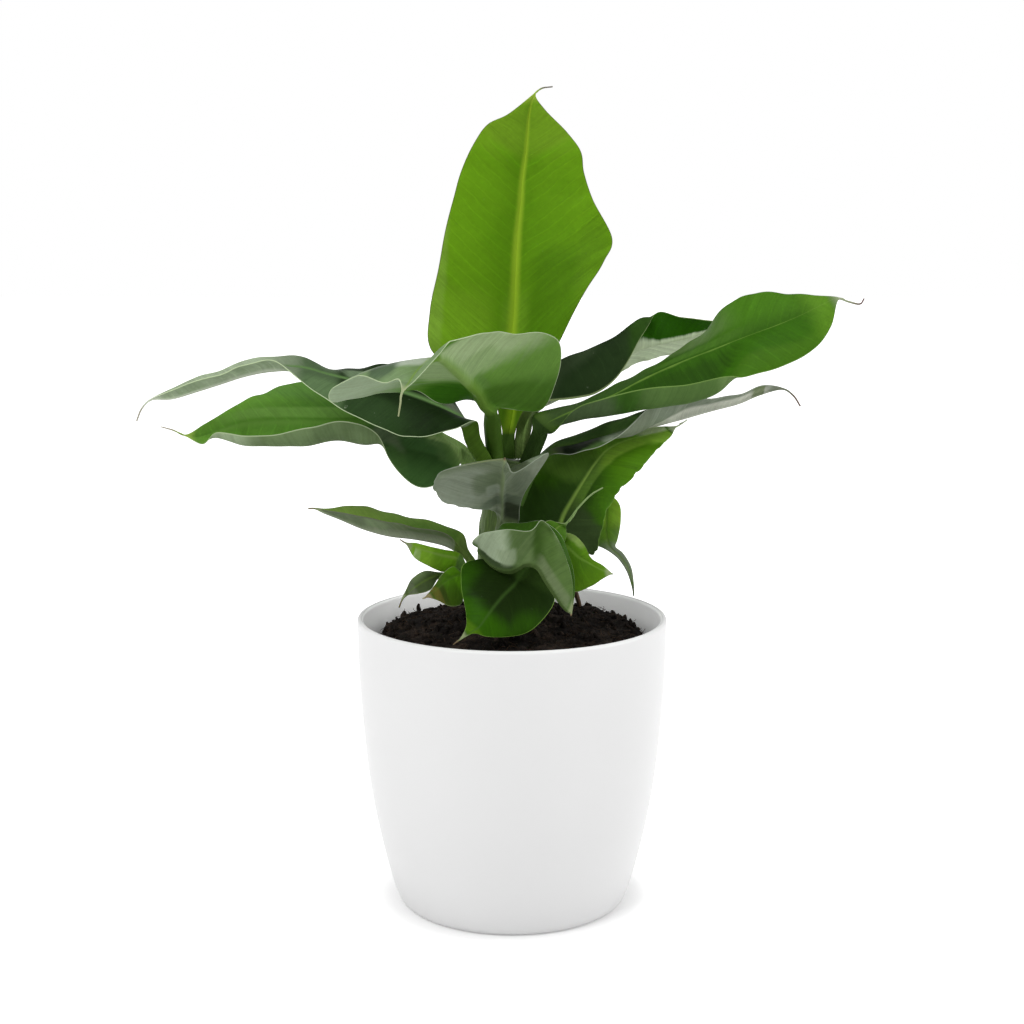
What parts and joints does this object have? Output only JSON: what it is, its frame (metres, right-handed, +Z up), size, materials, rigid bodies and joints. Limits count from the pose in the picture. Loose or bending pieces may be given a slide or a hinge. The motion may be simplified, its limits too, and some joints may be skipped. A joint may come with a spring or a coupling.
{
  "type": "potted dwarf banana plant",
  "caption": "Young dwarf banana plant with broad arching leaves and side shoots, in a nursery pot inside a plain white round planter.",
  "frame": {"origin": "centre of the planter's flat round foot, on the surface it stands on", "axes": "+Z up along the planter's axis, -Y towards the viewer of the front, +X to the viewer's right"},
  "size_m": [0.4099, 0.2315, 0.4726],
  "materials": {
    "planter": null,
    "nursery_pot": "thin dark plastic, satin",
    "potting_soil": null,
    "pseudostem": null,
    "left_shoot": null,
    "front_shoot": null,
    "right_shoot": null,
    "dry_stalk": "dry brown fibrous leaf stalk",
    "upright_leaf": "bright yellow-green upper side with a pale midrib, satin",
    "front_leaf": "pale waxy grey-green underside, satin",
    "left_long_leaf": "dark glossy green upper side with a cream edge line",
    "left_broad_leaf": "mid green, waxy grey underside, satin",
    "back_right_leaf": "dark green upper side, silvery grey underside",
    "right_long_leaf": "mid green with a yellow-green midrib, satin",
    "right_slender_leaf": "dark green upper side, silver-grey waxy underside",
    "right_broad_leaf": "dark and bright green halves, pale double midrib",
    "front_small_leaf": "grey waxy underside with a pale rib",
    "right_hanging_leaf": "mid green with a grey hanging tip",
    "arched_leaf": "grey-green waxy underside, cream edge",
    "bright_right_leaf": "bright green, satin",
    "tendril_leaf": "bright green with a long pale tendril",
    "round_leaf": "dark green with a thin cream edge, satin",
    "slender_left_leaf": "green upper strip, grey-purple underside",
    "small_left_leaf": "bright green, satin",
    "browned_leaf": "green with a brown dried tip",
    "drooping_leaf": "dark green with a pale midrib"
  },
  "bodies": {
    "root": {"planter": "planter", "nursery_pot": "nursery_pot", "potting_soil": "potting_soil", "pseudostem": "pseudostem", "left_shoot": "left_shoot", "front_shoot": "front_shoot", "right_shoot": "right_shoot", "dry_stalk": "dry_stalk", "upright_leaf": "upright_leaf", "front_leaf": "front_leaf", "left_long_leaf": "left_long_leaf", "left_broad_leaf": "left_broad_leaf", "back_right_leaf": "back_right_leaf", "right_long_leaf": "right_long_leaf", "right_slender_leaf": "right_slender_leaf", "right_broad_leaf": "right_broad_leaf", "front_small_leaf": "front_small_leaf", "right_hanging_leaf": "right_hanging_leaf", "arched_leaf": "arched_leaf", "bright_right_leaf": "bright_right_leaf", "tendril_leaf": "tendril_leaf", "round_leaf": "round_leaf", "slender_left_leaf": "slender_left_leaf", "small_left_leaf": "small_left_leaf", "browned_leaf": "browned_leaf", "drooping_leaf": "drooping_leaf"}
  },
  "joints": []
}
